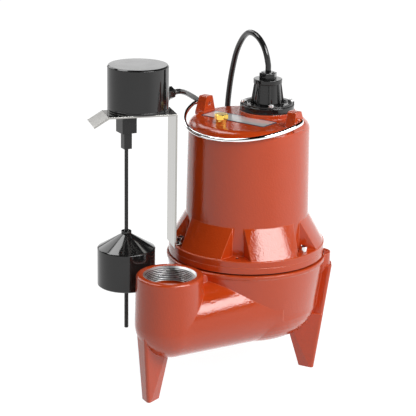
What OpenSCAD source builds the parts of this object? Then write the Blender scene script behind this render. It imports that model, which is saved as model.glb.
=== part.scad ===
// Submersible sump pump with a vertical float switch.
// The pump stands on three cast legs, the shaft is vertical and the
// discharge port points up. Heights are measured from the floor.

/* [Volute casing] */
// Clear height between the floor and the volute's bottom
leg_h = 50.5; // [42:0.5:65]
// Height of the volute from its bottom to its rim
volute_h = 95; // [92:0.5:110]
// Radius of the volute at its rim
volute_rim_r = 94.5; // [93:0.5:104]
// Radius of the volute wall where the bottom round begins
volute_waist_r = 86.5; // [84:0.5:92]
// Radius of the round between the wall and the flat bottom
volute_round = 39.5; // [30:0.5:44]
// Thickness of the volute's bottom wall
volute_floor_t = 8; // [6:0.5:12]
// Radius of the impeller chamber
chamber_r = 74; // [70:0.5:76]
// Radius of the round at the bottom of the impeller chamber
chamber_round = 24; // [16:0.5:30]
// Radius of the suction inlet in the volute's bottom
inlet_r = 28; // [22:0.5:36]

/* [Discharge] */
// Distance of the discharge port from the shaft, along the arm
port_x = 124.5; // [118:0.5:140]
// Sideways distance of the discharge port from the shaft
port_y = 45; // [40:0.5:50]
// Height of the discharge port's mouth above the volute's bottom
port_h = 98.5; // [90:0.5:115]
// Outer radius of the arm and of the port's boss at the elbow
arm_r = 39.5; // [38:0.5:42]
// Outer radius of the arm where it meets the volute
arm_root_r = 47; // [44:0.5:48]
// Radius of the water passage in the elbow
passage_r = 28; // [24:0.5:29]
// Radius of the thread's crests in the port
port_bore_r = 28.5; // [27:0.5:30]
// Length of the threaded stretch
port_thread_l = 26; // [18:1:30]
// Draft of the boss from the elbow to its mouth
boss_draft = 1.1; // [0:0.1:2]

/* [Legs] */
// Width of a foot
foot_w = 20; // [16:0.2:24]
// Depth of a foot from its broad side to its edge
foot_d = 17.9; // [14:0.1:22]
// Distance from the shaft to the broad side of a rear foot
foot_reach = 85.5; // [80:0.5:90]
// Distance from the shaft to the outside of a rim ear
ear_reach = 100.5; // [97:0.5:108]
// Radius of a rim ear's round end
ear_r = 13; // [10:0.5:16]
// Height of a rim ear
ear_h = 14; // [8:0.5:20]

/* [Flange stack] */
// Gap between volute and seal plate, filled by the gasket
gasket_t = 2; // [1:0.25:3]
// Thickness of the seal plate's rim
seal_plate_t = 7.1; // [6:0.1:9]
// Thickness of the motor housing's flange
flange_t = 7.6; // [6:0.1:10]
// Radius of the flange and of the seal plate
flange_r = 92.2; // [91:0.1:93]
// Radius of the circle through the housing bolts
bolt_circle_r = 82.5; // [81:0.5:84]
// Shank radius of a housing bolt
bolt_r = 3; // [2.5:0.25:3.5]
// Head radius of a housing bolt
bolt_head_r = 5; // [4.5:0.25:6]
// Head height of a housing bolt
bolt_head_h = 7; // [5:0.5:8]
// Depth of a tapped hole in the volute's rim
tapped_depth = 18; // [14:1:24]

/* [Motor housing] */
// Height of the motor housing from the flange's underside
housing_h = 152.9; // [150:0.1:170]
// Outer radius of the housing at its top
body_top_r = 70.9; // [69.5:0.1:73]
// Outer radius of the housing at the top of its skirt
body_low_r = 72.5; // [71:0.1:75]
// Radius of the skirt where it meets the flange
skirt_r = 91; // [86:0.5:91.5]
// Height of the skirt
skirt_h = 33.3; // [28:0.1:36]
// Radius of the round on the housing's top edge
top_round = 9.5; // [6:0.5:12]
// Radius of the bore that holds the stator
housing_bore_r = 62; // [60:0.5:63.5]
// Thickness of the housing's top
housing_top_t = 7; // [5:0.5:8]
// Half width of a skirt pocket at its back
pocket_back_w = 6; // [5:0.5:9]
// Half width of a skirt pocket at its mouth
pocket_mouth_w = 20.5; // [17:0.5:22]

/* [Bail handle] */
// Radius of the bail, from the hinge to the wire's middle
bail_r = 76; // [75.8:0.1:80]
// Thickness of the bail wire
wire_d = 4.8; // [4:0.1:5]
// Radius of the bend that turns the wire into its lug
bail_bend = 7; // [5:0.5:9]
// Height of the hinge above the housing's top
hinge_h = 8.5; // [8:0.5:11]
// Angle at which the bail rests below level
bail_rest = 13.6; // [10:0.1:16]
// Distance from the shaft to a lug's inner face
lug_inner = 57; // [54:0.5:58]
// Thickness of a lug
lug_t = 12; // [9:0.5:12]
// Width of a lug at its base
lug_w = 22; // [20:0.5:26]
// Width of a lug at its top
lug_top_w = 12.5; // [11:0.5:15]

/* [Cord entry] */
// Radius of the cord plate's flange
cord_plate_r = 31.9; // [31:0.1:34]
// Thickness of the cord plate's flange
cord_plate_t = 6; // [4:0.5:8]
// Height of the cord plate's cone above its flange
cord_cone_h = 30; // [24:0.5:34]
// Radius of the cone at its base
cord_cone_base_r = 17.5; // [16:0.5:20]
// Radius of the cone at its top
cord_cone_top_r = 14.5; // [13:0.5:16]
// Height of the raised pad under the cord plate
cord_pad_h = 5; // [2:0.5:6]
// Thickness of the cord plate's gasket
cord_gasket_t = 1; // [0.5:0.25:2]
// Width across the flats of the cord nut
cord_nut_w = 18.2; // [17:0.2:23]
// Height of the cord nut
cord_nut_h = 8; // [7:0.5:13]
// Diameter of the power cord
power_cord_d = 7; // [6:0.25:8]

/* [Float switch] */
// Radius of the switch housing
switch_r = 35.4; // [34:0.1:36]
// Height of the switch housing
switch_h = 52.3; // [48:0.1:58]
// Wall thickness of the switch housing
switch_wall = 2.5; // [2:0.25:3]
// Thickness of the switch housing's base disc
switch_base_t = 3; // [2:0.25:4]
// Height of the bracket's shelf above the housing's top
shelf_rise = 14.5; // [10:0.5:24]
// Thickness of the bracket's strip
strip_t = 2; // [1.5:0.25:3]
// Width of the bracket's strip
strip_w = 36.8; // [30:0.2:40]
// Length of the bracket's shelf
shelf_l = 77.5; // [70:0.5:84]
// Length of the lip at the shelf's end
lip_l = 20.5; // [10:0.5:24]
// Radius of the float rod
rod_r = 2.2; // [1.8:0.05:2.6]
// Height of the float rod's lower end above the floor
rod_low = 62; // [40:0.5:90]
// Radius of the float
float_r = 33.8; // [32:0.1:34]
// Height of the float's cylinder
float_cyl_h = 45.8; // [40:0.1:50]
// Height of the float's cone
float_cone_h = 16.6; // [12:0.1:20]
// Height of the float's underside above the floor
float_low = 116.6; // [100:0.1:120]
// Width of the rod guide's block
guide_w = 17.7; // [15:0.1:20]
// Height of the rod guide's block
guide_h = 20.5; // [14:0.5:24]
// Width of the rod guide's sleeve
sleeve_w = 9.5; // [8:0.1:11]
// Length of the rod guide's sleeve
sleeve_h = 19; // [12:0.5:24]
// Diameter of the switch cord
switch_cord_d = 6.5; // [6:0.25:7]

/* [Motor] */
// Radius of the shaft
shaft_r = 7.5; // [6:0.25:8.5]
// Outer radius of a bearing
bearing_r = 17.5; // [15:0.5:20]
// Width of a bearing
bearing_w = 11; // [9:0.5:13]
// Height of the laminated stator core
core_h = 58; // [50:1:60]
// Radius of the rotor
rotor_r = 34; // [28:0.5:35]
// Air gap between rotor and stator
air_gap = 0.5; // [0.4:0.05:1]
// Height of the windings above and below the core
winding_h = 20; // [14:0.5:21]
// Radius of the impeller
impeller_r = 58; // [50:0.5:62]
// Height of the impeller's vanes
vane_h = 22; // [16:0.5:24]
// Number of vanes on the impeller
vane_count = 7; // [5:1:9]

/* [Clearances] */
// Radial clearance of a turning or sliding fit
running_gap = 0.05; // [0.02:0.01:0.1]
// Radial clearance between a fixed piece and its seat
seat_gap = 0.2; // [0.1:0.05:0.4]
// Radial clearance of a bolt in its through hole
bolt_gap = 0.4; // [0.2:0.1:0.6]
// Clearance of the bail's ends in the lugs
bail_gap = 0.08; // [0.04:0.01:0.1]
// Clearance between pieces that move past each other
free_gap = 1; // [0.5:0.25:2]

/* [Cord coils] */
// Diameter of the power cord's coil at the middle of its turns
power_coil_d = 77.2; // [70:0.1:84]
// Turns in the power cord's coil
power_turns = 10.12; // [8.12:1:11.12]
// Diameter of the switch cord's coil at the middle of its turns
switch_coil_d = 67; // [62:0.1:72]
// Turns in the switch cord's coil
switch_turns = 12.2; // [9.2:1:12.2]
// Gap between the turns of a coil
coil_gap = 0.5; // [0.45:0.05:1]
// Thickness of the ties round a coil
tie_t = 1; // [0.8:0.1:1.5]

/* [Hidden] */
$fn = 72;
nudge = 0.01;

// Heights of the stack above the floor
z_waist = leg_h + volute_round;
z_rim = leg_h + volute_h;
z_plate = z_rim + gasket_t;
z_flange = z_plate + seal_plate_t;
z_flange_top = z_flange + flange_t;
z_skirt_top = z_flange_top + skirt_h;
z_top = z_flange + housing_h;
z_inner_top = z_top - housing_top_t;
z_port = leg_h + port_h;
z_hinge = z_top + hinge_h;
z_shelf = z_top + shelf_rise;
z_pad = z_top + cord_pad_h;
z_cord_plate = z_pad + cord_gasket_t;
z_cone = z_cord_plate + cord_plate_t;
z_cord_nut = z_cone + cord_cone_h;
z_cord_exit = z_cord_nut + cord_nut_h;

// Directions, as angles about the shaft from the +X axis
column_angles = [-30, 90];
pocket_angle = 172.8;
pocket_count = 6;
pocket_step = 360 / pocket_count;
bolt_angles = [for (i = [0:2]) pocket_angle + 2 * i * pocket_step];
jack_angles = [for (i = [0:2]) pocket_angle + (2 * i + 1) * pocket_step];
hinge_angle = -64.6;
bail_pin_d = wire_d - 0.08;
strip_angle = 167.2;

// Volute
rim_bead = 1;
spigot_h = 4.5;
spigot_r = chamber_r - seat_gap;
column_top = z_rim - ear_h;
leg_corner_r = 3;
leg_edge_half = 1.2;
leg_lean = 0.13;
leg_edge_lean = 0.3;
column_lean = 0.128;
ear_rise = 1.5;
arm_foot_reach = 31.7;
arm_foot_y = 1.2;
web_drop = 3.5;
port_chamfer = 2.5;
boss_edge = 3;

// Housing
winding_gap = 2;
shoulder_r = housing_bore_r - 2;
z_bearing_low = z_flange_top + 6;
z_core = z_bearing_low + winding_h + 1;
z_core_top = z_core + core_h;
bearing_wall = 5;
cap_r = 12;
cap_l = 50;
cap_reach = 39;
z_bearing_up = z_inner_top - bearing_w - 1;
plug_at = [-41.9, -9.1];
plug_r = 6.2;
plug_head_w = 14;
plug_head_h = 6.5;
plug_neck_h = 5;
cord_at = [30.9, 11.7];
cord_pad_r = cord_plate_r + 1.2;
cord_collar_h = 5;
cord_ring_h = 2;
cord_screw_circle = 27.6;
cord_screw_angles = [for (i = [0:3]) 68.4 + 90 * i];
cord_screw_r = 1.75;
cord_screw_hole_r = 2;
cord_screw_grip = 7;
cord_screw_head_r = 3.4;
cord_screw_head_h = 2.6;
cord_bore_r = 11;

// Shaft line, from the seal down to the impeller
z_spigot = z_plate - spigot_h;
seal_r = 12;
seat_r = 15;
seat_h = 8;
z_seat = z_spigot + 2;
seal_head_h = 13;
z_hub = z_seat - seal_head_h;
shroud_t = 4;
hub_r = 14;
hub_h = vane_h + shroud_t;
z_hub_low = z_hub - hub_h;
stub_r = 6;
nut_h = 8;
z_stub = z_hub_low - nut_h - 3;

// Float switch
strip_reach = 92.6;
strip_offset = 4.4;
switch_at = [-124.6, 38.4];
rod_at = [-143.8, 28.8];
lip_angle = 30;
gland_angle = 15;
gland_l = 20;
gland_hex_l = 16;
gland_h = 12;
gland_w = 13.5;
gland_collar_r = 10.5;
gland_collar_l = 5;
rod_hole_r = rod_r + running_gap;
magnet_r = 8;
magnet_h = 7;
clip_r = 6;
clip_h = 3;
z_switch_floor = z_shelf + switch_base_t;
z_guide = z_shelf - strip_t - guide_h;
z_sleeve = z_guide - sleeve_h;
z_float_apex = float_low + float_cyl_h + float_cone_h;
tab_w = 15;
tab_l = 16.5;
tab_offset = 8;

// The part's origin is on the floor, in the middle of the footprint. The
// bracket's lip reaches farthest to the left.
left_end = (strip_reach + shelf_l + lip_l * cos(lip_angle)) * cos(strip_angle)
  - (strip_offset + strip_w / 2) * sin(strip_angle);
shaft_x = -(left_end + volute_rim_r) / 2;
shaft_y = -(ear_reach - volute_rim_r) / 2;

// Cord ends
power_exit = [cord_at[0], cord_at[1], z_cord_exit];
gland_dir = [cos(gland_angle), sin(gland_angle), 0];
switch_exit = concat(switch_at, [z_shelf + gland_h])
  + (switch_r + gland_l) * gland_dir;

// Routes of the cords' free stretches, from the exit to the coil
power_route = [
  [30.5, 12, 367.8], [29.8, 13.1, 373.9], [29, 15.1, 380],
  [28.3, 18.5, 386], [27.5, 23.6, 391.3], [26.8, 30.4, 395.5],
  [26.5, 39.7, 398], [26.6, 50.1, 397.4], [27.2, 60.1, 393.1],
  [27.8, 69.1, 386.1], [27.9, 76.4, 377.6], [28, 82.9, 367.5],
  [28.2, 88.1, 356.4], [28, 91.9, 344.6], [27.3, 94.3, 332.6],
  [26.5, 95.8, 320.1], [25.8, 96.9, 307.5], [25.2, 97.6, 291],
  [24.6, 98.1, 271], [24, 98.5, 249], [23.4, 98.8, 227],
  [22.8, 99.1, 205], [22.2, 99.3, 184], [21.6, 99.4, 163],
  [21.2, 99.5, 143], [21, 99.5, 122], [21, 99.5, 101],
  [21, 99.5, 80], [21, 99.6, 62], [21.3, 100.3, 46], [24, 103.5, 30],
  [30, 110.5, 16.5], [39, 121, 7], [50, 134.5, 3.9]
];
switch_route = [
  [-60.3, 57.1, 332.9], [-55.4, 60.4, 331.2], [-50.3, 64.6, 329],
  [-44.2, 69.7, 326], [-37.6, 74.5, 322.4], [-31, 78.8, 318.5],
  [-24.3, 82.6, 314], [-18.1, 86.1, 308.8], [-13.4, 89.3, 301.6],
  [-10.4, 91.8, 293.1], [-8.7, 93.7, 283.5], [-8.1, 94.9, 272.1],
  [-8.3, 95.6, 258], [-9.2, 96, 240], [-10.5, 96.4, 220],
  [-12.4, 97, 200], [-14.8, 97.7, 180], [-17.4, 98.4, 160],
  [-20, 99.2, 140], [-22.2, 99.8, 120], [-23.8, 100, 100],
  [-24.7, 100, 80], [-25, 100, 62], [-25, 100.4, 43],
  [-25.5, 103, 27.7], [-27, 111.5, 14.7], [-29.3, 124.3, 6.2],
  [-31.5, 137.5, 3.8]
];
power_coil_at = [104, 124];
switch_coil_at = [8, 166];
power_start = 139;
switch_start = 190;
tail_bend = 4.3;
tie_w = 6;
tie_gap = 0.3;
coil_rings = 24;
coil_layers = 4;

// ---------------------------------------------------------------
// Helpers

module at_shaft() {
  translate([shaft_x, shaft_y, 0]) children();
}

// Points of an arc about c, from angle a0 to angle a1
function arc(c, r, a0, a1, steps = 8) =
  [for (i = [0:steps]) let (a = a0 + (a1 - a0) * i / steps)
    c + r * [cos(a), sin(a)]];

function unit(v) = v / norm(v);

module ring(outer_r, inner_r, h) {
  difference() {
    cylinder(r = outer_r, h = h);
    translate([0, 0, -1]) cylinder(r = inner_r, h = h + 2);
  }
}

module around(angles, r) {
  for (a = angles) rotate(a) translate([r, 0, 0]) children();
}

// Hexagonal prism of a given width across its flats
module hex(w, h) {
  cylinder(d = w / cos(30), h = h, $fn = 6);
}

// ---------------------------------------------------------------
// Volute casing

function volute_outline() = concat(
  [[0, leg_h]],
  arc([volute_waist_r - volute_round, z_waist], volute_round, -90, 0, 10),
  [[volute_rim_r - rim_bead, z_rim - 5 * rim_bead],
   [volute_rim_r, z_rim - 4 * rim_bead],
   [volute_rim_r, z_rim - rim_bead],
   [volute_rim_r - rim_bead, z_rim],
   [0, z_rim]]
);

function chamber_outline() = concat(
  [[0, leg_h + volute_floor_t]],
  arc([chamber_r - chamber_round, leg_h + volute_floor_t + chamber_round],
      chamber_round, -90, 0, 6),
  [[chamber_r, z_rim + 1], [0, z_rim + 1]]
);

// A cone along the arm, from the elbow's centre to the volute's side.
// Its underside stays level with the volute's bottom.
module along_arm(r_elbow, r_root) {
  root = [0, -(volute_waist_r + 1.5 - arm_root_r), leg_h + arm_root_r];
  elbow = [-port_x, -port_y, leg_h + arm_r];
  run = root - elbow;
  translate(elbow)
    rotate([0, acos(run[2] / norm(run)), atan2(run[1], run[0])])
      cylinder(r1 = r_elbow, r2 = r_root, h = norm(run));
}

module discharge_outside() {
  along_arm(arm_r, arm_root_r);
  translate([-port_x, -port_y, 0]) {
    translate([0, 0, leg_h + arm_r]) sphere(r = arm_r);
    rotate_extrude() polygon(concat(
      [[0, leg_h + arm_r], [arm_r, leg_h + arm_r]],
      arc([arm_r - boss_draft - boss_edge, z_port - boss_edge],
          boss_edge, 0, 90, 4),
      [[0, z_port]]
    ));
  }
  // Web that ties the boss to the volute's wall
  translate([-port_x + arm_r - 8, -port_y - 5, leg_h + arm_r])
    cube([20, 10, z_port - boss_edge - web_drop - leg_h - arm_r]);
}

module discharge_passage() {
  along_arm(passage_r, passage_r + 5);
  translate([-port_x, -port_y, 0]) {
    translate([0, 0, leg_h + arm_r]) sphere(r = passage_r);
    translate([0, 0, leg_h + arm_r])
      cylinder(r = passage_r, h = port_h - arm_r - port_thread_l + nudge);
    translate([0, 0, z_port - port_thread_l])
      cylinder(r = port_bore_r, h = port_thread_l + 1);
    translate([0, 0, z_port - port_chamfer])
      cylinder(r1 = port_bore_r, r2 = port_bore_r + port_chamfer + 0.5,
               h = port_chamfer + 0.5);
  }
}

// Section of a leg: a wedge with its broad side at x = 0, rounded
// corners there and an edge that points inwards
module leg_section(w, d) {
  lean = atan((w / 2 - leg_edge_half) / d);
  y = w / 2 - leg_corner_r * (1 + sin(lean)) / cos(lean);
  polygon(concat(
    [[-d, leg_edge_half], [-d, -leg_edge_half]],
    arc([-leg_corner_r, -y], leg_corner_r, -90 - lean, 0, 5),
    arc([-leg_corner_r, y], leg_corner_r, 0, 90 + lean, 5)
  ));
}

// Distance from the shaft to a leg's broad side at height z, and to its
// inner edge
function leg_reach(z) = foot_reach + leg_lean * min(z, leg_h)
  + column_lean * max(z - leg_h, 0);
function leg_inner(z) = foot_reach - foot_d - leg_edge_lean * z;

module leg_slice(z, w, d) {
  translate([leg_reach(z), 0, z]) linear_extrude(nudge) leg_section(w, d);
}

// Leg whose edge leans inwards up to the volute's bottom. A shallower
// column goes on up the volute's side to the ear on its rim.
module column_leg() {
  ear_drop = ear_r * 0.6;
  hull() for (z = [0, leg_h, leg_h + 20])
    leg_slice(z, foot_w + 0.05 * z, leg_reach(z) - leg_inner(z));
  hull() {
    leg_slice(leg_h + 10, foot_w + 2.6, foot_d + 6);
    leg_slice(column_top, foot_w + 5, foot_d + 12);
  }
  translate([ear_reach - ear_r, 0, column_top - ear_drop])
    cylinder(r1 = ear_r * 0.72, r2 = ear_r, h = ear_drop);
  difference() {
    translate([ear_reach - ear_r, 0, column_top])
      cylinder(r = ear_r, h = ear_h + ear_rise);
    translate([0, 0, z_rim - rim_bead])
      cylinder(r = flange_r + free_gap / 2, h = ear_h);
  }
}

// Leg under the discharge boss
module boss_leg() {
  translate([-port_x, -port_y - arm_foot_y, 0]) rotate(180) hull() {
    translate([arm_foot_reach, 0, 0])
      linear_extrude(nudge) leg_section(foot_w, foot_d);
    translate([arm_foot_reach + 6.2, 0, leg_h + arm_r])
      linear_extrude(nudge) leg_section(foot_w + 5, foot_d + 27);
  }
}

module volute_casing() {
  color("orangered") at_shaft() difference() {
    union() {
      rotate_extrude() polygon(volute_outline());
      discharge_outside();
      for (a = column_angles) rotate(a) column_leg();
      boss_leg();
    }
    rotate_extrude() polygon(chamber_outline());
    discharge_passage();
    translate([0, 0, leg_h - 1])
      cylinder(r = inlet_r, h = volute_floor_t + 2);
    around(bolt_angles, bolt_circle_r)
      translate([0, 0, z_rim - tapped_depth])
        cylinder(r = bolt_r, h = tapped_depth + 1);
  }
}

// ---------------------------------------------------------------
// Seals and flanges

module volute_gasket() {
  color("black") at_shaft() translate([0, 0, z_rim]) difference() {
    ring(flange_r - 3.2, chamber_r, gasket_t);
    around(bolt_angles, bolt_circle_r) translate([0, 0, -1])
      cylinder(r = bolt_r + bolt_gap, h = gasket_t + 2);
  }
}

module seal_plate() {
  bearing_hub_r = bearing_r + bearing_wall;
  bore_rim_r = housing_bore_r - seat_gap;
  color("orangered") at_shaft() difference() {
    union() {
      translate([0, 0, z_plate]) cylinder(r = flange_r, h = seal_plate_t);
      translate([0, 0, z_spigot]) cylinder(r = spigot_r, h = spigot_h + 1);
      translate([0, 0, z_flange - 1]) cylinder(r = bore_rim_r, h = 7);
      translate([0, 0, z_flange])
        cylinder(r = bearing_hub_r, h = z_bearing_low + bearing_w - z_flange);
    }
    // Groove of the O-ring
    translate([0, 0, z_flange + 2]) ring(flange_r, housing_bore_r - 3, 3);
    // Bearing seat, shaft hole and seat of the shaft seal
    translate([0, 0, z_bearing_low]) cylinder(r = bearing_r, h = bearing_w + 1);
    translate([0, 0, z_spigot - 1])
      cylinder(r = shaft_r + free_gap, h = z_bearing_low - z_spigot + 2);
    translate([0, 0, z_spigot - 1]) cylinder(r = seat_r, h = seat_h + 3);
    around(bolt_angles, bolt_circle_r) translate([0, 0, z_plate - 1])
      cylinder(r = bolt_r + bolt_gap, h = seal_plate_t + 2);
  }
}

module housing_oring() {
  color("black") at_shaft() translate([0, 0, z_flange + 2])
    ring(housing_bore_r, housing_bore_r - 3, 3);
}

// ---------------------------------------------------------------
// Motor housing

function body_outline() = concat(
  [[0, z_flange], [flange_r, z_flange],
   [flange_r, z_flange_top - 0.6], [flange_r - 0.6, z_flange_top],
   [body_low_r, z_flange_top], [body_low_r, z_skirt_top]],
  arc([body_top_r - top_round, z_top - top_round], top_round, 0, 90, 8),
  [[0, z_top]]
);

// Pocket over a bolt: narrow at its back, wide at its mouth
module pocket() {
  back = body_low_r - 1;
  mouth = flange_r + 2;
  linear_extrude(skirt_h + 2) polygon([
    [back, -pocket_back_w], [mouth, -pocket_mouth_w],
    [mouth, pocket_mouth_w], [back, pocket_back_w]
  ]);
}

module skirt() {
  difference() {
    translate([0, 0, z_flange_top - nudge])
      cylinder(r1 = skirt_r, r2 = body_low_r, h = skirt_h);
    for (i = [0:pocket_count - 1])
      rotate(pocket_angle + i * pocket_step)
        translate([0, 0, z_flange_top]) pocket();
  }
}

// Lug that narrows to its flat top. Its outer face leans inwards.
module bail_lug() {
  sunk = 4;
  top = sunk + hinge_h + 9.5;
  edge_r = 2;
  lean = 0.1;
  x = lug_top_w / 2 - edge_r;
  translate([0, 0, z_top - sunk]) intersection() {
    rotate([90, 0, 90]) linear_extrude(2 * lug_t) polygon(concat(
      [[-lug_w / 2, 0], [lug_w / 2, 0], [lug_w / 2, sunk]],
      arc([x, top - edge_r], edge_r, 15, 90, 3),
      arc([-x, top - edge_r], edge_r, 90, 165, 3),
      [[-lug_w / 2, sunk]]
    ));
    rotate([90, 0, 0]) linear_extrude(2 * lug_w, center = true) polygon([
      [0, 0], [lug_t + lean * (sunk + hinge_h), 0],
      [lug_t - lean * (top - sunk - hinge_h), top], [0, top]
    ]);
  }
}

function bore_outline() = [
  [0, z_flange - 1], [housing_bore_r, z_flange - 1],
  [housing_bore_r, z_core_top], [shoulder_r, z_core_top],
  [shoulder_r, z_inner_top], [0, z_inner_top]
];

module motor_housing() {
  lug_start = lug_inner;
  pocket_wall = bearing_r + bearing_wall;
  color("orangered") at_shaft() difference() {
    union() {
      difference() {
        union() {
          rotate_extrude() polygon(body_outline());
          skirt();
        }
        rotate_extrude() polygon(bore_outline());
      }
      // Boss that holds the upper bearing
      translate([0, 0, z_bearing_up])
        cylinder(r = pocket_wall, h = z_inner_top - z_bearing_up + 1);
      translate([cord_at[0], cord_at[1], z_inner_top])
        cylinder(r = cord_pad_r, h = z_pad - z_inner_top);
      for (a = [0, 180]) rotate(hinge_angle + a)
        translate([lug_start, 0, 0]) bail_lug();
    }
    translate([0, 0, z_bearing_up - 1])
      cylinder(r = bearing_r, h = bearing_w + 1);
    around(bolt_angles, bolt_circle_r) translate([0, 0, z_flange - 1])
      cylinder(r = bolt_r + bolt_gap, h = flange_t + 2);
    around(jack_angles, bolt_circle_r - 4) translate([0, 0, z_flange - 1])
      cylinder(r = bolt_r - 0.5, h = flange_t + 2);
    // Cord passage and oil filler hole
    translate([cord_at[0], cord_at[1], z_inner_top - 1])
      cylinder(r = 12, h = z_pad - z_inner_top + 2);
    translate([cord_at[0], cord_at[1], z_pad - cord_screw_grip - 1])
      around(cord_screw_angles, cord_screw_circle)
        cylinder(r = cord_screw_r, h = cord_screw_grip + 2);
    translate([plug_at[0], plug_at[1], z_inner_top - 1])
      cylinder(r = plug_r, h = housing_top_t + 2);
    // Holes for the bail's ends
    rotate(hinge_angle) translate([0, 0, z_hinge]) rotate([0, 90, 0])
      translate([0, 0, -lug_start - lug_t - 1])
        cylinder(r = bail_pin_d / 2 + bail_gap,
               h = 2 * (lug_start + lug_t + 1));
  }
}

module socket_screw(head_r, head_h, shank_r, shank_l) {
  difference() {
    cylinder(r = head_r, h = head_h);
    translate([0, 0, head_h * 0.45]) hex(head_r * 1.05, head_h);
  }
  translate([0, 0, -shank_l]) cylinder(r = shank_r, h = shank_l + nudge);
}

module housing_bolts() {
  grip = z_flange_top - z_rim + tapped_depth - 2;
  color("silver") at_shaft() for (i = [0:2])
    rotate(bolt_angles[i])
      translate([bolt_circle_r, 0, z_flange_top + (i == 0 ? strip_t : 0)])
        socket_screw(bolt_head_r, bolt_head_h, bolt_r,
                     grip + (i == 0 ? strip_t : 0));
}

// Threaded neck with a hexagonal head whose corners are turned off
module oil_fill_plug() {
  bevel = 1.2;
  color("goldenrod") at_shaft()
    translate([plug_at[0], plug_at[1], z_inner_top + 1]) {
      cylinder(r = plug_r, h = housing_top_t - 1 + plug_neck_h + nudge);
      translate([0, 0, housing_top_t - 1 + plug_neck_h]) intersection() {
        rotate(20) hex(plug_head_w, plug_head_h);
        rotate_extrude() polygon([
          [0, 0], [plug_head_w / 2, 0], [plug_head_w / 2 + bevel, bevel],
          [plug_head_w / 2 + bevel, plug_head_h - bevel],
          [plug_head_w / 2, plug_head_h], [0, plug_head_h]
        ]);
      }
    }
}

// ---------------------------------------------------------------
// Cord entry

module cord_plate_gasket() {
  color("dimgray") at_shaft()
    translate([cord_at[0], cord_at[1], z_pad]) difference() {
      ring(cord_plate_r, cord_bore_r + 2, cord_gasket_t);
      around(cord_screw_angles, cord_screw_circle) translate([0, 0, -1])
        cylinder(r = cord_screw_hole_r, h = cord_gasket_t + 2);
    }
}

// Flange with a raised ring and screw bosses, and a ribbed cone under a
// collar
module cord_plate() {
  rib_count = 8;
  rib_t = 2.4;
  boss_r = 4.6;
  collar_r = cord_cone_top_r + 2.4;
  ring_top = cord_plate_t + cord_ring_h;
  top = cord_plate_t + cord_cone_h;
  color("dimgray") at_shaft()
    translate([cord_at[0], cord_at[1], z_cord_plate]) difference() {
      union() {
        cylinder(r = cord_plate_r, h = cord_plate_t);
        ring(cord_plate_r - 2, cord_plate_r - 8, ring_top);
        around(cord_screw_angles, cord_screw_circle)
          cylinder(r = boss_r, h = ring_top);
        translate([0, 0, cord_plate_t - 1])
          cylinder(r1 = cord_cone_base_r, r2 = cord_cone_top_r,
                   h = cord_cone_h);
        translate([0, 0, top - cord_collar_h])
          cylinder(r = collar_r, h = cord_collar_h);
        for (i = [0:rib_count - 1]) rotate((i + 0.5) * 360 / rib_count)
          rotate([90, 0, 0]) linear_extrude(rib_t, center = true) polygon([
            [cord_bore_r + 1, cord_plate_t - 1],
            [cord_cone_base_r + 2.5, cord_plate_t - 1],
            [cord_cone_top_r + 1.4, top - cord_collar_h + 1],
            [cord_bore_r + 1, top - cord_collar_h + 1]
          ]);
      }
      translate([0, 0, -1])
        cylinder(d = power_cord_d + 2 * seat_gap, h = top + 2);
      translate([0, 0, -1]) cylinder(r = cord_bore_r, h = top - 8);
      around(cord_screw_angles, cord_screw_circle) translate([0, 0, -1])
        cylinder(r = cord_screw_hole_r, h = ring_top + 2);
    }
}

module cord_plate_screws() {
  shank = cord_screw_grip + cord_gasket_t + cord_plate_t + cord_ring_h;
  color("silver") at_shaft()
    translate([cord_at[0], cord_at[1], z_cone + cord_ring_h])
      around(cord_screw_angles, cord_screw_circle) {
        cylinder(r = cord_screw_head_r, h = cord_screw_head_h);
        translate([0, 0, -shank]) cylinder(r = cord_screw_r, h = shank + nudge);
      }
}

module cord_nut() {
  color("dimgray") at_shaft()
    translate([cord_at[0], cord_at[1], z_cord_nut]) difference() {
      union() {
        rotate(-14.4) hex(cord_nut_w, cord_nut_h - 1);
        cylinder(d = cord_nut_w - 3, h = cord_nut_h);
      }
      translate([0, 0, -1]) cylinder(d = power_cord_d, h = cord_nut_h - 5);
    }
}

// ---------------------------------------------------------------
// Motor

module stator_core() {
  slots = 16;
  bore = rotor_r + air_gap;
  color("gray") at_shaft() translate([0, 0, z_core]) difference() {
    cylinder(r = housing_bore_r, h = core_h);
    translate([0, 0, -1]) cylinder(r = bore, h = core_h + 2);
    for (i = [0:slots - 1]) rotate(i * 360 / slots)
      translate([bore - 2, -1.5, -1]) cube([15, 3, core_h + 2]);
  }
}

module stator_windings() {
  inner = rotor_r + air_gap + 3;
  outer = housing_bore_r - winding_gap - 2;
  color("darkorange") at_shaft() {
    translate([0, 0, z_core - winding_h]) ring(outer, inner, winding_h);
    translate([0, 0, z_core_top]) ring(outer - 1, inner, winding_h);
  }
}

module thermal_protector() {
  color("ivory") at_shaft()
    translate([-8, housing_bore_r - winding_gap - 20, z_core_top + winding_h])
      cube([16, 10, 6]);
}

module capacitor_cradle() {
  color("white") at_shaft()
    translate([0, -cap_reach, z_core_top + winding_h]) difference() {
      translate([-cap_l / 2 + 4, -9, 0]) cube([cap_l - 8, 18, 8]);
      translate([-cap_l / 2, 0, cap_r + 2]) rotate([0, 90, 0])
        cylinder(r = cap_r + running_gap, h = cap_l);
    }
}

module run_capacitor() {
  color("whitesmoke") at_shaft()
    translate([-cap_l / 2, -cap_reach, z_core_top + winding_h + cap_r + 2])
      rotate([0, 90, 0]) {
        cylinder(r = cap_r, h = cap_l);
        cylinder(r = cap_r - 2, h = cap_l + 2);
      }
}

module bearing() {
  difference() {
    ring(bearing_r, shaft_r + running_gap, bearing_w);
    for (z = [-1, bearing_w - 1]) translate([0, 0, z])
      ring(bearing_r - 3, shaft_r + 3, 2);
  }
}

module upper_bearing() {
  color("silver") at_shaft() translate([0, 0, z_bearing_up]) bearing();
}

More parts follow.
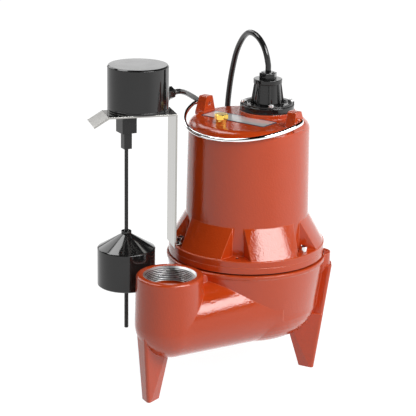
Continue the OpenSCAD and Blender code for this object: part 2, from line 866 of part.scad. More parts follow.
module lower_bearing() {
  color("silver") at_shaft() translate([0, 0, z_bearing_low]) bearing();
}

module seal_seat() {
  color("ivory") at_shaft() translate([0, 0, z_seat])
    ring(seat_r, shaft_r + free_gap, seat_h);
}

module seal_head() {
  color("gray") at_shaft() translate([0, 0, z_hub]) {
    ring(seal_r, shaft_r, 4);
    translate([0, 0, 4 - nudge]) ring(seal_r - 2, shaft_r, seal_head_h - 7);
    translate([0, 0, seal_head_h - 3 - 2 * nudge])
      ring(seal_r, shaft_r, 3 - running_gap);
  }
}

module motor_shaft() {
  color("silver") at_shaft() {
    translate([0, 0, z_hub_low])
      cylinder(r = shaft_r, h = z_bearing_up + bearing_w - z_hub_low);
    translate([0, 0, z_stub])
      cylinder(r = stub_r, h = z_hub_low - z_stub + nudge);
  }
}

module rotor_core() {
  color("darkgray") at_shaft() {
    translate([0, 0, z_core]) ring(rotor_r, shaft_r, core_h);
    for (z = [z_core - 6, z_core_top]) translate([0, 0, z])
      ring(rotor_r - 3, rotor_r - 12, 6);
  }
}

// Vane that sweeps back as it runs outwards
module vane() {
  sweep = 55;
  thick = 4;
  steps = 10;
  inner = hub_r - 2;
  outer = impeller_r - 2;
  function mid(i) = let (f = i / steps, r = inner + (outer - inner) * f,
                         a = sweep * f * f) r * [cos(a), sin(a)];
  function side(i, s) = let (
    a = mid(max(i - 1, 0)), b = mid(min(i + 1, steps)), d = unit(b - a))
    mid(i) + s * thick / 2 * [-d[1], d[0]];
  linear_extrude(vane_h) polygon(concat(
    [for (i = [0:steps]) side(i, 1)],
    [for (i = [steps:-1:0]) side(i, -1)]
  ));
}

module impeller() {
  color("dimgray") at_shaft() translate([0, 0, z_hub_low]) difference() {
    union() {
      cylinder(r = hub_r, h = hub_h);
      translate([0, 0, vane_h]) cylinder(r = impeller_r, h = shroud_t);
      for (i = [0:vane_count - 1]) rotate(i * 360 / vane_count) vane();
    }
    translate([0, 0, -1]) cylinder(r = shaft_r, h = hub_h + 2);
  }
}

module impeller_nut() {
  color("silver") at_shaft() translate([0, 0, z_hub_low - nut_h])
    difference() {
      hex(20, nut_h);
      translate([0, 0, -1]) cylinder(r = stub_r, h = nut_h + 2);
    }
}

// ---------------------------------------------------------------
// Bail handle, drawn level with its hinge along X and then tipped

module wire_arc(r, a, d) {
  rotate_extrude(angle = a) translate([r, 0]) circle(d = d, $fn = 24);
}

// Each piece starts a little inside the one before it and is a hair
// thinner, so that their surfaces never coincide
module bail_handle() {
  turn = asin(bail_bend / (bail_r - bail_bend));
  start = (bail_r - bail_bend) * cos(turn);
  overlap = 2;
  color("silver") at_shaft() translate([0, 0, z_hinge])
    rotate(hinge_angle) rotate([bail_rest, 0, 0]) {
      rotate(180 + turn) wire_arc(bail_r, 180 - 2 * turn, wire_d);
      for (m = [0, 1]) mirror([m, 0, 0]) {
        translate([start, -bail_bend, 0]) rotate(-turn - overlap)
          wire_arc(bail_bend, 90 + turn + overlap, wire_d - 0.04);
        translate([lug_inner + 1, 0, 0]) rotate([0, 90, 0])
          cylinder(d = bail_pin_d, h = start - lug_inner - 0.8, $fn = 48);
      }
    }
}

// ---------------------------------------------------------------
// Float switch

// Places its children on the strip: +X points out, away from the shaft
module on_strip() {
  rotate(strip_angle) translate([strip_reach, strip_offset, 0]) children();
}

module bracket_profile() {
  lip = lip_l * [cos(lip_angle), -sin(lip_angle)];
  thick = strip_t;
  low = z_flange_top;
  polygon([
    [-tab_l, low], [thick / 2, low],
    [thick / 2, z_shelf - thick],
    [shelf_l, z_shelf - thick],
    [shelf_l + lip[0] - thick * sin(lip_angle) / 2, z_shelf - thick + lip[1]],
    [shelf_l + lip[0] + thick * sin(lip_angle) / 2, z_shelf + lip[1]],
    [shelf_l + thick * 0.4, z_shelf],
    [-thick / 2, z_shelf],
    [-thick / 2, low + thick],
    [-tab_l, low + thick]
  ]);
}

module switch_bracket() {
  tab_y = tab_offset - strip_offset;
  color("lightgray") at_shaft() difference() {
    on_strip() difference() {
      translate([0, strip_w / 2, 0]) rotate([90, 0, 0])
        linear_extrude(strip_w) bracket_profile();
      // The foot tab is narrower than the strip
      for (side = [-1, 1])
        translate([-tab_l - 1, tab_y + (side < 0 ? -strip_w : 0)
                     + side * tab_w / 2, z_flange_top - 1])
          cube([tab_l + 1 - strip_t / 2, strip_w, strip_t + 2]);
    }
    rotate(bolt_angles[0]) translate([bolt_circle_r, 0, z_flange_top - 1])
      cylinder(r = bolt_r + bolt_gap, h = strip_t + 2);
    translate([rod_at[0], rod_at[1], z_shelf - strip_t - 1])
      cylinder(r = rod_r + free_gap, h = strip_t + 2);
  }
}

module switch_base() {
  color("dimgray") at_shaft() difference() {
    translate([switch_at[0], switch_at[1], z_shelf])
      cylinder(r = switch_r, h = switch_base_t);
    translate([rod_at[0], rod_at[1], z_shelf - 1])
      cylinder(r = rod_r + free_gap, h = switch_base_t + 2);
  }
}

module switch_housing() {
  bevel = 1.5;
  inner = switch_r - switch_wall;
  color("dimgray") at_shaft() difference() {
    translate([switch_at[0], switch_at[1], 0]) difference() {
      rotate_extrude() polygon([
        [0, z_switch_floor], [switch_r, z_switch_floor],
        [switch_r, z_shelf + switch_h - bevel],
        [switch_r - bevel, z_shelf + switch_h], [0, z_shelf + switch_h]
      ]);
      translate([0, 0, z_switch_floor - 1])
        cylinder(r = inner, h = switch_h - switch_base_t - switch_wall + 1);
    }
    translate(concat(switch_at, [z_shelf + gland_h])) rotate(gland_angle)
      translate([inner - 4, 0, 0]) rotate([0, 90, 0])
        cylinder(d = switch_cord_d + 2 * seat_gap, h = switch_wall + 6);
  }
}

module snap_switch() {
  color("gray") at_shaft()
    translate([switch_at[0] - 2, switch_at[1] - 6, z_switch_floor])
      cube([22, 14, 26]);
}

// Round collar seated on the housing, a hexagon and a tapered sleeve
module switch_gland() {
  seat = 3;
  hex_start = seat + gland_collar_l - 1;
  hex_end = seat + gland_hex_l;
  color("dimgray") at_shaft()
    translate(concat(switch_at, [z_shelf + gland_h])) difference() {
      rotate(gland_angle) translate([switch_r - seat, 0, 0])
        rotate([0, 90, 0]) difference() {
          union() {
            cylinder(r = gland_collar_r, h = seat + gland_collar_l);
            translate([0, 0, hex_start]) hex(gland_w, hex_end - hex_start);
            translate([0, 0, hex_end - 1])
              cylinder(d1 = gland_w - 1.5, d2 = switch_cord_d + 2,
                       h = seat + gland_l - hex_end + 1);
          }
          translate([0, 0, -1])
            cylinder(d = switch_cord_d, h = seat + gland_l - 2);
        }
      cylinder(r = switch_r - 0.1, h = 3 * gland_h, center = true);
      translate([0, 0, switch_base_t + seat_gap - 3 * gland_h])
        cylinder(r = 2 * switch_r, h = 2 * gland_h);
    }
}

module rod_guide() {
  color("dimgray") at_shaft()
    translate([rod_at[0], rod_at[1], z_sleeve]) difference() {
      union() {
        translate([-sleeve_w / 2, -sleeve_w / 2, 0])
          cube([sleeve_w, sleeve_w, sleeve_h + 1]);
        translate([-guide_w / 2, -guide_w / 2, sleeve_h])
          cube([guide_w, guide_w, guide_h]);
      }
      translate([0, 0, -1])
        cylinder(r = rod_hole_r, h = guide_h + sleeve_h + 2);
    }
}

module float_rod() {
  z_magnet = z_switch_floor + running_gap;
  color("black") at_shaft() translate([rod_at[0], rod_at[1], rod_low])
    cylinder(r = rod_r, h = z_magnet + magnet_h - 1 - rod_low);
}

module rod_magnet() {
  z_magnet = z_switch_floor + running_gap;
  color("gray") at_shaft() translate([rod_at[0], rod_at[1], z_magnet])
    difference() {
      cylinder(r = magnet_r, h = magnet_h);
      translate([0, 0, -1]) cylinder(r = rod_r, h = magnet_h);
    }
}

module switch_float() {
  color("dimgray") at_shaft() translate([rod_at[0], rod_at[1], float_low])
    difference() {
      rotate_extrude() polygon([
        [0, 0], [float_r - 1, 0], [float_r, 1],
        [float_r, float_cyl_h - 1], [float_r - 1, float_cyl_h],
        [clip_r - 1, float_cyl_h + float_cone_h],
        [0, float_cyl_h + float_cone_h]
      ]);
      translate([0, 0, -1])
        cylinder(r = rod_r, h = float_cyl_h + float_cone_h + 2);
    }
}

module float_clips() {
  color("dimgray") at_shaft() translate([rod_at[0], rod_at[1], 0])
    for (z = [float_low - clip_h, z_float_apex])
      translate([0, 0, z]) ring(clip_r, rod_r, clip_h);
}

// ---------------------------------------------------------------
// Cords

// Direction of a path at point i
function path_dir(p, i) =
  i == 0 ? unit(p[1] - p[0])
  : i == len(p) - 1 ? unit(p[i] - p[i - 1])
  : unit(unit(p[i + 1] - p[i]) + unit(p[i] - p[i - 1]));

// Part of v that is square to d
function square_to(v, d) = unit(v - (v * d) * d);

// One side vector for each point, carried along without twisting
function carried_sides(p, first) = [
  for (i = 0, s = square_to(first, path_dir(p, 0)); i < len(p);
       i = i + 1,
       s = i < len(p) ? square_to(s, path_dir(p, i)) : s) s
];

// Tube along a path, closed by a fan of triangles at each end
module tube(p, r, sides, first = [0, 0, 1]) {
  n = len(p);
  across = carried_sides(p, first);
  rings = [
    for (i = [0:n - 1])
      let (d = path_dir(p, i), a = across[i], b = cross(d, a))
        for (k = [0:sides - 1])
          p[i] + r * (cos(360 * k / sides) * a + sin(360 * k / sides) * b)
  ];
  walls = [
    for (i = [0:n - 2]) for (k = [0:sides - 1])
      let (a = i * sides + k, b = i * sides + (k + 1) % sides)
        for (t = [[a, a + sides, b], [b, a + sides, b + sides]]) t
  ];
  caps = [
    for (k = [1:sides - 2])
      for (t = [[0, k, k + 1],
                [(n - 1) * sides, (n - 1) * sides + k + 1,
                 (n - 1) * sides + k]]) t
  ];
  polyhedron(points = rings, faces = concat(walls, caps));
}

// A pile of turns that run clockwise from angle start: it spirals in
// and out again at a steady rate in four layers, and climbs a layer in
// the half turn where it reverses. A cord diameter of straight cord
// leads in and out.
function ramp(x) = min(max(x, 0), 1);
function coil_step(d) = d + coil_gap;
function coil_span(turns, d) = coil_step(d) * turns / coil_layers;
function coil_outer(turns, d, mid_d) = (mid_d + coil_span(turns, d)) / 2;
function coil_top(d) = tie_t + d + (coil_layers - 1) * coil_step(d);
function coil_heading(a) = [sin(a), -cos(a), 0];

function coil_point(u, turns, d, mid_d, start) =
  let (per = turns / coil_layers, layer = min(floor(u / per), coil_layers - 1),
       f = u - layer * per, in = layer % 2 == 0 ? f : per - f,
       r = coil_outer(turns, d, mid_d) - coil_step(d) * in,
       climbs = [for (k = [1:coil_layers - 1]) ramp((u - k * per) * 2 + 0.5)],
       z = coil_step(d) * (climbs * [for (c = climbs) 1]),
       a = start - 360 * u)
    [r * cos(a), r * sin(a), tie_t + d / 2 + z];

function coil_path(at, turns, d, mid_d, start) =
  let (n = round(turns * coil_rings),
       p = [for (i = [0:n])
         concat(at, [0]) + coil_point(turns * i / n, turns, d, mid_d, start)])
    concat([p[0] - d * coil_heading(start)], p,
           [p[n] + d * coil_heading(start - 360 * turns)]);

// Cord from a coil's end: it bends inwards a quarter turn and rises
// until it is level with the plug that lies on the coil
function tail_path(from, heading, d, rise, steps = 8) =
  let (r = tail_bend * d,
       lead = d * [cos(heading), sin(heading), 0],
       last = d * [sin(heading), -cos(heading), 0],
       bend = [for (i = [0:steps])
         let (f = i / steps, a = heading - 90 * f)
           from + lead
             + [r * (sin(heading) - sin(a)), r * (cos(a) - cos(heading)), 0]
             + [0, 0, rise * f * f * (3 - 2 * f)]])
    concat([from], bend, [bend[steps] + last]);

function path_length(p) = let (steps = [
  for (i = [1:len(p) - 1]) norm(p[i] - p[i - 1])]) steps * [for (s = steps) 1];

// Least distance between the middles of two turns of a coil
function coil_least(p) = min([
  for (i = [0:len(p) - 1], j = [i + coil_rings / 2:len(p) - 1])
    norm(p[i] - p[j])
]);

power_coil = coil_path(power_coil_at, power_turns, power_cord_d,
                       power_coil_d, power_start);
switch_coil = coil_path(switch_coil_at, switch_turns, switch_cord_d,
                        switch_coil_d, switch_start);
power_stretch = concat(
  [power_exit, power_exit + [0, 0, power_cord_d]], power_route,
  [power_coil[0] - power_cord_d * coil_heading(power_start), power_coil[0]]
);
switch_stretch = concat(
  [switch_exit, switch_exit + switch_cord_d * gland_dir], switch_route,
  [switch_coil[0] - switch_cord_d * coil_heading(switch_start),
   switch_coil[0]]
);
plug_h = 22;
piggyback_h = 26;
power_heading = power_start - 360 * power_turns - 90;
switch_heading = switch_start - 360 * switch_turns - 90;
power_tail = tail_path(power_coil[len(power_coil) - 1], power_heading,
                       power_cord_d, power_cord_d / 2 + plug_h / 2);
switch_tail = tail_path(switch_coil[len(switch_coil) - 1], switch_heading,
                        switch_cord_d, switch_cord_d / 2 + piggyback_h / 2);

echo(power_coil_gap = coil_least(power_coil) - power_cord_d,
     switch_coil_gap = coil_least(switch_coil) - switch_cord_d);
echo(power_cord_length = path_length(power_stretch)
       + path_length(power_coil) + path_length(power_tail),
     switch_cord_length = path_length(switch_stretch)
       + path_length(switch_coil) + path_length(switch_tail));

module power_cord() {
  color("black") at_shaft() tube(power_stretch, power_cord_d / 2, 10, [1, 0, 0]);
}

module switch_cord() {
  color("black") at_shaft() tube(switch_stretch, switch_cord_d / 2, 10);
}

module power_cord_coil() {
  color("black") at_shaft() tube(power_coil, power_cord_d / 2, 6);
}

module switch_cord_coil() {
  color("black") at_shaft() tube(switch_coil, switch_cord_d / 2, 6);
}

module power_cord_tail() {
  color("black") at_shaft() tube(power_tail, power_cord_d / 2, 10);
}

module switch_cord_tail() {
  color("black") at_shaft() tube(switch_tail, switch_cord_d / 2, 10);
}

// Reach of a coil's turns from its middle where they pass angle a
function turns_at(p, at, a) = [
  for (q = p)
    let (v = [q[0] - at[0], q[1] - at[1]], along = v * [cos(a), sin(a)],
         aside = v * [-sin(a), cos(a)])
      if (along > 0 && abs(aside) < 1.5 * tie_w) norm(v)
];

// Two straps round a coil's turns, one on each side of its plug
module coil_ties(p, at, d, angles) {
  h = coil_top(d) - tie_t + tie_gap;
  translate(concat(at, [0])) for (a = angles)
    let (reach = turns_at(p, at, a), low = min(reach) - d / 2 - tie_gap,
         w = max(reach) + d / 2 + tie_gap - low)
      rotate(a) translate([low, 0, 0]) difference() {
        translate([-tie_t, -tie_w / 2, 0])
          cube([w + 2 * tie_t, tie_w, h + 2 * tie_t]);
        translate([0, -tie_w, tie_t]) cube([w, 2 * tie_w, h]);
      }
}

module power_cord_ties() {
  color("black") at_shaft()
    coil_ties(power_coil, power_coil_at, power_cord_d,
              [power_heading - 80, power_heading + 220]);
}

module switch_cord_ties() {
  color("black") at_shaft()
    coil_ties(switch_coil, switch_coil_at, switch_cord_d,
              [switch_heading - 80, switch_heading + 150]);
}

// Outline of a plug's body, seen along the cord
function rounded(w, h, r) = concat(
  arc([w / 2 - r, h / 2 - r], r, 0, 90, 3),
  arc([-w / 2 + r, h / 2 - r], r, 90, 180, 3),
  arc([-w / 2 + r, -h / 2 + r], r, 180, 270, 3),
  arc([w / 2 - r, -h / 2 + r], r, 270, 360, 3)
);

// Plug with its cord coming in at the origin and its blades along +X
module mains_plug(w, h, body_l, cord_d) {
  neck_l = 12;
  neck_r = cord_d / 2 + 2;
  blade = [17, 1.5, 6.3];
  rotate([0, 90, 0]) cylinder(r1 = neck_r, r2 = neck_r + 3, h = neck_l + 1);
  translate([neck_l, 0, 0]) rotate([90, 0, 90])
    linear_extrude(body_l) polygon(rounded(w, h, 4));
  translate([neck_l + body_l - nudge, 0, 0]) {
    for (side = [-6.35, 6.35])
      translate([0, side - blade[1] / 2, 1]) cube(blade);
    translate([0, 0, -5.5]) rotate([0, 90, 0])
      cylinder(d = 4.8, h = blade[0] + 3);
  }
}

// Puts a plug at a tail's end, pointing the way the tail runs
module at_tail_end(tail, heading) {
  translate(tail[len(tail) - 1]) rotate(heading - 90) children();
}

module power_plug() {
  color("black") at_shaft() at_tail_end(power_tail, power_heading)
    mains_plug(26, plug_h, 30, power_cord_d);
}

// The pump's own plug fits into the back of this one
module piggyback_plug() {
  body_w = 30;
  body_l = 28;
  socket_l = 12;
  color("black") at_shaft() at_tail_end(switch_tail, switch_heading)
    difference() {
      union() {
        mains_plug(body_w, piggyback_h, body_l, switch_cord_d);
        translate([12, body_w / 2 - 1, -piggyback_h / 2])
          cube([body_l, socket_l, piggyback_h]);
      }
      for (side = [-6.35, 6.35])
        translate([12 + body_l / 2 + side - 1, body_w / 2 + socket_l - 11,
                   -2])
          cube([2, 12, 8]);
    }
}

volute_casing();
volute_gasket();
seal_plate();
housing_oring();
motor_housing();
housing_bolts();
oil_fill_plug();
cord_plate_gasket();
cord_plate();
cord_plate_screws();
cord_nut();
stator_core();
stator_windings();
thermal_protector();
capacitor_cradle();
run_capacitor();
upper_bearing();
lower_bearing();
seal_seat();
seal_head();
motor_shaft();
rotor_core();
impeller();
impeller_nut();
bail_handle();
switch_bracket();
switch_base();
switch_housing();
snap_switch();
switch_gland();
rod_guide();
float_rod();
rod_magnet();
switch_float();
float_clips();
power_cord();
power_cord_coil();
power_cord_ties();
power_cord_tail();
power_plug();
switch_cord();
switch_cord_coil();
switch_cord_ties();
switch_cord_tail();
piggyback_plug();
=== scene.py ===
"""Looks for the submersible sump pump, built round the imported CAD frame."""
import math

import bpy
from mathutils import Matrix, Vector


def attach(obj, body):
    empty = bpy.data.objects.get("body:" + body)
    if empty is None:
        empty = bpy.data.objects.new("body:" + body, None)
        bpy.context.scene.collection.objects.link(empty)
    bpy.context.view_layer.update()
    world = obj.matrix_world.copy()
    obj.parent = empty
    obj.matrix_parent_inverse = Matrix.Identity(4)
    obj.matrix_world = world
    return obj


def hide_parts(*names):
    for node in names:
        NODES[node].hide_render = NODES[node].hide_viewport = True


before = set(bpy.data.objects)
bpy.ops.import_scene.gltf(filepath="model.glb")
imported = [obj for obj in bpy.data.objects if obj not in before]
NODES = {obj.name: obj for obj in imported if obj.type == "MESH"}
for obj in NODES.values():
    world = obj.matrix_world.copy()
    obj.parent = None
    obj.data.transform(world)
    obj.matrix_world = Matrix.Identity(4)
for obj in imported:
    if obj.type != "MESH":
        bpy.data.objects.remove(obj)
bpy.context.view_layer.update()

# The pump's own frame has its origin on the shaft axis, in millimetres.
SHAFT_X = 46.8683
SHAFT_Y = -3.0


def at(x, y, z):
    """A point of the pump's frame in mm, as a point of the part in metres."""
    return Vector(((x + SHAFT_X) / 1000, (y + SHAFT_Y) / 1000, z / 1000))


# ---------------------------------------------------------------------
# Camera
PIXELS = 416
FOCAL_PIXELS = 1537.8
SENSOR = 36.0
CAMERA_AT = at(-869.4, -1504.6, 736.1)
LOOK = Vector((0.4558, 0.8393, -0.2962)).normalized()
ROLL = math.radians(0.96)
CLIP = (0.05, 20)


def make_camera():
    """The photograph's camera, solved from round rims and upright edges."""
    right = LOOK.cross(Vector((0, 0, 1))).normalized()
    up = right.cross(LOOK)
    rolled_right = math.cos(ROLL) * right + math.sin(ROLL) * up
    rolled_up = rolled_right.cross(LOOK)
    data = bpy.data.cameras.new("camera")
    data.sensor_width = SENSOR
    data.sensor_fit = "HORIZONTAL"
    data.lens = FOCAL_PIXELS * SENSOR / PIXELS
    data.clip_start, data.clip_end = CLIP
    camera = bpy.data.objects.new("camera", data)
    bpy.context.scene.collection.objects.link(camera)
    turn = Matrix((rolled_right, rolled_up, -LOOK)).transposed()
    camera.matrix_world = Matrix.Translation(CAMERA_AT) @ turn.to_4x4()
    bpy.context.scene.camera = camera


make_camera()


# ---------------------------------------------------------------------
# Materials
class Nodes:
    """Short names for the nodes of one material."""

    def __init__(self, name):
        self.material = bpy.data.materials.new(name)
        self.material.use_nodes = True
        self.tree = self.material.node_tree
        self.bsdf = self.tree.nodes["Principled BSDF"]

    def add(self, kind, **settings):
        """A node of a kind, with its own settings."""
        node = self.tree.nodes.new(kind)
        for key, value in settings.items():
            setattr(node, key, value)
        return node

    def link(self, source, target):
        self.tree.links.new(source, target)

    def noise(self, scale, detail=4.0, rough=0.55):
        """Noise over the object's own coordinates, in cells per metre."""
        place = self.add("ShaderNodeTexCoord")
        noise = self.add("ShaderNodeTexNoise")
        noise.inputs["Scale"].default_value = scale
        noise.inputs["Detail"].default_value = detail
        noise.inputs["Roughness"].default_value = rough
        self.link(place.outputs["Object"], noise.inputs["Vector"])
        return noise

    def ramp(self, source, stops):
        """A colour for each value, from (place, colour) stops."""
        ramp = self.add("ShaderNodeValToRGB")
        elements = ramp.color_ramp.elements
        while len(elements) < len(stops):
            elements.new(0.5)
        for element, (place, colour) in zip(elements, stops):
            element.position = place
            element.color = (*colour, 1)
        self.link(source, ramp.inputs["Fac"])
        return ramp.outputs["Color"]

    def span(self, source, low, high, from_low=0.3, from_high=0.7):
        """The source's usual range, stretched to low and high."""
        spread = self.add("ShaderNodeMapRange")
        spread.inputs["From Min"].default_value = from_low
        spread.inputs["From Max"].default_value = from_high
        spread.inputs["To Min"].default_value = low
        spread.inputs["To Max"].default_value = high
        self.link(source, spread.inputs["Value"])
        return spread.outputs["Result"]

    def bump(self, source, strength, distance, before=None):
        """The normal over a relief, on top of an earlier normal."""
        bump = self.add("ShaderNodeBump")
        bump.inputs["Strength"].default_value = strength
        bump.inputs["Distance"].default_value = distance
        self.link(source, bump.inputs["Height"])
        if before is not None:
            self.link(before, bump.inputs["Normal"])
        return bump.outputs["Normal"]

    def bevel(self, radius):
        """The normal over edges that are rounded by radius."""
        bevel = self.add("ShaderNodeBevel", samples=8)
        bevel.inputs["Radius"].default_value = radius
        return bevel.outputs["Normal"]

    def edge_mask(self, radius, low, high):
        """1 on edges and 0 away from them, from how far they round."""
        surface = self.add("ShaderNodeNewGeometry")
        gap = self.add("ShaderNodeVectorMath", operation="DISTANCE")
        self.link(self.bevel(radius), gap.inputs[0])
        self.link(surface.outputs["Normal"], gap.inputs[1])
        return self.span(gap.outputs["Value"], 0.0, 1.0, low, high)

    def finish(self, **sockets):
        """Set or link the shader's sockets, and give the material."""
        names = {
            "colour": "Base Color",
            "roughness": "Roughness",
            "metallic": "Metallic",
            "normal": "Normal",
            "specular": "Specular IOR Level",
        }
        for key, value in sockets.items():
            socket = self.bsdf.inputs[names[key]]
            if isinstance(value, bpy.types.NodeSocket):
                self.link(value, socket)
            else:
                socket.default_value = value
        return self.material


# Colours are linear, and radii and depths are in metres.
PAINT_DARK = (0.575, 0.060, 0.0085)
PAINT_LIGHT = (0.63, 0.069, 0.0105)
# Paler colour for edges: partly thinner paint, partly a painted highlight.
PAINT_EDGE_THIN_AND_LIT = (0.72, 0.115, 0.035)
PAINT_ROUGH = (0.03, 0.06)
CAST_EDGE = 0.0012
SKIN_DEPTH = 0.0009
PEEL_DEPTH = 0.0004


def paint_material():
    """Thick gloss enamel on rough castings: orange peel over a soft skin, and
    paler
    colour on the edges: partly thinner paint, partly a painted highlight."""
    n = Nodes("cast_paint")
    cloud = n.noise(9, 3).outputs["Fac"]
    colour = n.ramp(cloud, [(0.3, PAINT_DARK), (0.7, PAINT_LIGHT)])
    edges = n.edge_mask(CAST_EDGE, 0.06, 0.30)
    # Edges take the paler colour: thinner paint and a painted highlight.
    thin_and_lit_edges = n.add("ShaderNodeMix", data_type="RGBA")
    n.link(edges, thin_and_lit_edges.inputs["Factor"])
    n.link(colour, thin_and_lit_edges.inputs[6])
    thin_and_lit_edges.inputs[7].default_value = (*PAINT_EDGE_THIN_AND_LIT, 1)
    peel = n.noise(500, 1, 0.5).outputs["Fac"]
    skin = n.noise(85, 3, 0.5).outputs["Fac"]
    normal = n.bump(skin, 0.06, SKIN_DEPTH, n.bevel(CAST_EDGE))
    normal = n.bump(peel, 0.55, PEEL_DEPTH, normal)
    rough = n.span(n.noise(60).outputs["Fac"], *PAINT_ROUGH)
    return n.finish(colour=thin_and_lit_edges.outputs[2], roughness=rough, normal=normal)


ROUGH_SPREAD = 0.02


def plastic_material(name, low, high, rough, grain=600, depth=0.00003,
                     edge=0.0005, specular=0.5, metallic=0.0):
    """Mouldings and rubber: clouded colour, fine grain, rounded edges."""
    n = Nodes(name)
    cloud = n.noise(25, 3).outputs["Fac"]
    colour = n.ramp(cloud, [(0.3, low), (0.7, high)])
    normal = n.bump(n.noise(grain, 2).outputs["Fac"], 0.12, depth,
                    n.bevel(edge))
    roughness = n.span(n.noise(70).outputs["Fac"], rough - ROUGH_SPREAD,
                       rough + ROUGH_SPREAD)
    return n.finish(colour=colour, roughness=roughness, normal=normal,
                    specular=specular, metallic=metallic)


def metal_material(name, low, high, rough, grain=500, depth=0.00002,
                   edge=0.0004):
    """Bare metal: clouded colour, fine grain, rounded edges."""
    n = Nodes(name)
    cloud = n.noise(40, 4).outputs["Fac"]
    colour = n.ramp(cloud, [(0.3, low), (0.7, high)])
    normal = n.bump(n.noise(grain, 3).outputs["Fac"], 0.10, depth,
                    n.bevel(edge))
    roughness = n.span(n.noise(90).outputs["Fac"], rough - ROUGH_SPREAD,
                       rough + ROUGH_SPREAD)
    return n.finish(colour=colour, roughness=roughness, normal=normal,
                    metallic=1.0)


SHEET_DARK = (0.42, 0.412, 0.392)
SHEET_LIGHT = (0.45, 0.442, 0.422)
SHEET_ROUGH = (0.11, 0.13)
SHEET_EDGE = 0.0004
ROLLING_GRAIN = (300, 300, 8)  # lines per metre: fine across, long upwards


def sheet_material():
    """Bright rolled sheet with fine grain along its length."""
    n = Nodes("bracket_sheet")
    place = n.add("ShaderNodeTexCoord")
    stretch = n.add("ShaderNodeMapping")
    stretch.inputs["Scale"].default_value = ROLLING_GRAIN
    n.link(place.outputs["Object"], stretch.inputs["Vector"])
    grain = n.add("ShaderNodeTexNoise")
    grain.inputs["Scale"].default_value = 1.0
    grain.inputs["Detail"].default_value = 2.0
    n.link(stretch.outputs["Vector"], grain.inputs["Vector"])
    colour = n.ramp(grain.outputs["Fac"],
                    [(0.3, SHEET_DARK), (0.7, SHEET_LIGHT)])
    rough = n.span(grain.outputs["Fac"], *SHEET_ROUGH)
    return n.finish(colour=colour, roughness=rough, metallic=1.0,
                    normal=n.bevel(SHEET_EDGE))


# The darker colour between the turns is painted shade.
WIRE_GAP_SHADE = (0.30, 0.08, 0.03)
WIRE_TOP = (0.58, 0.20, 0.07)
WIRE_ROUGH = (0.32, 0.42)
WIRE_DEPTH = 0.0003
WIRE_TURNS = 260  # scale of the waves that draw the turns


def copper_material():
    """Enamelled wire: fine turns side by side, painted darker between turns as
    shade.
    """
    n = Nodes("winding_copper")
    place = n.add("ShaderNodeTexCoord")
    wave = n.add("ShaderNodeTexWave")
    wave.inputs["Scale"].default_value = WIRE_TURNS
    wave.inputs["Distortion"].default_value = 0.6
    n.link(place.outputs["Object"], wave.inputs["Vector"])
    colour = n.ramp(wave.outputs["Fac"],
                    [(0.2, WIRE_GAP_SHADE), (0.8, WIRE_TOP)])
    normal = n.bump(wave.outputs["Fac"], 0.5, WIRE_DEPTH)
    rough = n.span(n.noise(90).outputs["Fac"], *WIRE_ROUGH)
    return n.finish(colour=colour, roughness=rough, normal=normal,
                    metallic=1.0)


def grey(value):
    return (value, value, value)


PAINT = paint_material()
BLACK = plastic_material("black_plastic", grey(0.010), grey(0.014), 0.07,
                         edge=0.0013)
GLAND_BLACK = plastic_material("moulded_black", grey(0.007), grey(0.012),
                               0.17, specular=0.36)
RUBBER = plastic_material("cord_rubber", grey(0.014), grey(0.019), 0.15,
                          depth=0.00001)
GASKET = plastic_material("gasket_rubber", grey(0.008), grey(0.014), 0.6)
CHROME = metal_material("bail_chrome", grey(0.80), grey(0.86), 0.03, depth=0)
STEEL = metal_material("screw_steel", grey(0.66), grey(0.78), 0.15)
SHEET = sheet_material()
THREAD = metal_material("machined_iron", grey(0.52), grey(0.62), 0.36)
# A dark colour for the thread's roots, as painted shade.
THREAD_ROOT_SHADE = metal_material("thread_root_shade", grey(0.07), grey(0.11), 0.50)
BRASS = metal_material(
    "brass", (0.90, 0.56, 0.09), (0.98, 0.68, 0.15), 0.11, edge=0.0008)
SHAFT = metal_material("ground_steel", grey(0.50), grey(0.60), 0.25)
CORE = metal_material("core_steel", grey(0.18), grey(0.28), 0.45)
COPPER = copper_material()
IRON = metal_material("raw_iron", grey(0.10), grey(0.18), 0.55, 300, 0.0002)
CERAMIC = plastic_material(
    "ceramic", (0.62, 0.60, 0.55), (0.74, 0.72, 0.66), 0.3)
PALE = plastic_material(
    "pale_plastic", (0.55, 0.53, 0.47), (0.66, 0.64, 0.58), 0.45)
GREY = plastic_material("grey_plastic", grey(0.06), grey(0.10), 0.4)
MAGNET = metal_material("magnet", grey(0.10), grey(0.16), 0.45)
PLATE = plastic_material("plate_face", grey(0.90), grey(0.95), 0.12,
                         edge=0.0002, metallic=0.35)
PLATE_EDGE = plastic_material(
    "plate_border", (0.045, 0.060, 0.085), (0.065, 0.085, 0.115), 0.3,
    edge=0.0002)

